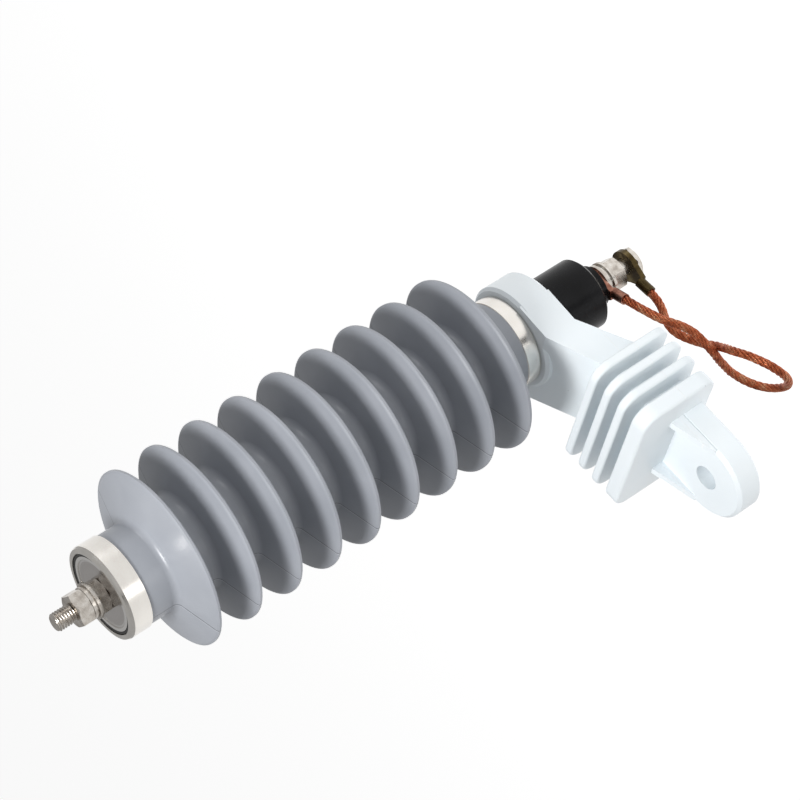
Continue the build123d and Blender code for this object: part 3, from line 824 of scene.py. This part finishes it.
# %% [markdown]
# ## Hand the materials out
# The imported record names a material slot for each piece. Assigning materials by hand
# would need forty lines. A table from slot to material needs one for each slot, and it
# stops with an error if a piece has a slot that the table doesn't know.

# %% Hand the materials out
by_slot = {
    "housing_rubber": rubber, "stainless": bolt_steel, "bracket_plastic": plastic,
    "disconnector_plastic": black, "seal_rubber": seal, "disc_metal": disc_steel,
    "electrode_aluminium": aluminium, "varistor_ceramic": oxide, "tube_composite": wound,
    "spring_steel": bolt_steel, "grading_material": oxide, "cartridge_brass": lug_brass,
    "lug_copper": lug_copper, "lug_brass": lug_brass, "lead_copper": copper,
}
for part in frame["record"]["subparts"]:
    node = bpy.data.objects[part["node"]]
    node.data.materials.clear()
    node.data.materials.append(by_slot[part["material_slot"]])
for name in ("top_end_cap", "bottom_end_cap"):
    bpy.data.objects[name].data.materials[0] = steel
earth_rope.data.materials.append(copper)
line_thread.data.materials.append(bolt_steel)
earth_thread.data.materials.append(bolt_steel)

# %% [markdown]
# ## World
# The camera sees a white world, as in a product picture. A white world of full strength
# would also light the product flat. Light Path tells the two apart: camera rays see the
# white backdrop, and all other rays get a weaker sky that only fills the shadows.

# %% World
world = bpy.data.worlds.new("studio")
scene.world = world
world.use_nodes = True
tree = world.node_tree
sky = tree.nodes["Background"]
WORLD_STRENGTH = 0.38
sky.inputs["Color"].default_value = (1.0, 1.0, 1.0, 1)
sky.inputs["Strength"].default_value = WORLD_STRENGTH
backdrop = put(tree, "ShaderNodeBackground", {"Color": (1.0, 1.0, 1.0, 1.0), "Strength": 1.0})
seen = put(tree, "ShaderNodeLightPath")
choose = put(tree, "ShaderNodeMixShader", {
    0: seen.outputs["Is Camera Ray"], 1: sky.outputs[0], 2: backdrop.outputs[0],
})
tree.links.new(choose.outputs[0], tree.nodes["World Output"].inputs["Surface"])
print("world strength", WORLD_STRENGTH)

# %% [markdown]
# ## Lamps
# The key light stands below the camera's left and throws light along the arrester, so
# that each shed shades the next. A weak side light and a weak top light open the
# shadows. Lamps could be placed by coordinates, but steps along the camera's right, up
# and back say where each one stands for the viewer.

# %% Lamps
centre = (Vector(sizes["cad"]["min"]) + Vector(sizes["cad"]["max"])) / 2


def area_light(name, right, up, back, size, power):
    """A square area light placed by steps along the camera's own directions."""
    data = bpy.data.lights.new(name, "AREA")
    data.size = size
    data.energy = power
    made = bpy.data.objects.new(name, data)
    scene.collection.objects.link(made)
    place = centre + camera_right * right + camera_up * up - CAMERA_FORWARD * back
    made.location = place
    made.rotation_mode = "QUATERNION"
    made.rotation_quaternion = (centre - place).to_track_quat("-Z", "Y")
    return made


area_light("key", right=-0.55, up=-0.30, back=0.75, size=0.30, power=9.0)
area_light("side", right=0.85, up=-0.1, back=0.9, size=0.5, power=1.2)
area_light("top", right=-0.6, up=1.15, back=0.5, size=0.5, power=2.4)
print("lamps", len(bpy.data.lights))

# %% [markdown]
# ## Dark cards
# Polished metal shows its surroundings, and in an all-white studio it loses its shape.
# Photographers put black cards beside it. These four are seen by reflections only, so
# they draw dark bands on the metal and take no light from anything.

# %% Dark cards
card_black, tree, shader = new_material("card_black", Roughness=1.0)
shader.inputs["Base Color"].default_value = (0.01, 0.01, 0.01, 1)
shader.inputs["Specular IOR Level"].default_value = 0.0


def dark_card(name, right, up, back, width, height):
    """A black card that only reflections see. It draws a dark band on bare metal."""
    bpy.ops.mesh.primitive_plane_add(size=1.0)
    card = bpy.context.object
    card.name = name
    place = centre + camera_right * right + camera_up * up - CAMERA_FORWARD * back
    card.location = place
    card.scale = (width, height, 1.0)
    card.rotation_mode = "QUATERNION"
    card.rotation_quaternion = (centre - place).to_track_quat("Z", "Y")
    card.data.materials.append(card_black)
    card.visible_camera = False
    card.visible_diffuse = False
    card.visible_shadow = False
    card.visible_transmission = False
    card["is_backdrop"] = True


dark_card("card_right", right=1.1, up=0.35, back=0.35, width=0.30, height=1.6)
dark_card("card_left", right=-1.1, up=-0.2, back=0.9, width=0.22, height=1.6)
dark_card("card_under", right=0.0, up=-1.0, back=0.7, width=1.6, height=0.22)
dark_card("card_behind", right=0.2, up=0.7, back=-1.0, width=1.4, height=0.25)

# %% [markdown]
# ## Floor
# The bracket holds the product up, so the floor lies well below it. A white floor alone
# comes out grey under weak lamps. A glow of its own brings it close to white. The glow
# is only part of its brightness, so the rest can still be shaded by the product.

# %% Floor
FLOOR_DROP = 0.75
FLOOR_SIZE = 8.0
bpy.ops.mesh.primitive_plane_add(
    size=FLOOR_SIZE, location=(centre.x, centre.y, centre.z - FLOOR_DROP))
floor = bpy.context.object
floor.name = "floor"
white, tree, shader = new_material("floor_white", Roughness=1.0)
shader.inputs["Base Color"].default_value = (1.0, 1.0, 1.0, 1)
shader.inputs["Specular IOR Level"].default_value = 0.0
shader.inputs["Emission Color"].default_value = (1.0, 1.0, 1.0, 1)
shader.inputs["Emission Strength"].default_value = 0.55
floor.data.materials.append(white)
floor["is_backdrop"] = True
print("floor at", round(floor.location.z, 3))

# %% [markdown]
# ## Finish
# The Standard view transform shows colours as they are written. A filmic one would grey
# the white backdrop.

# %% Sizes and finish
scene.view_settings.view_transform = "Standard"
sizes["visual"] = box_as_lists()
print("visual box", [round(high - low, 4) for low, high in zip(*sizes["visual"].values())])
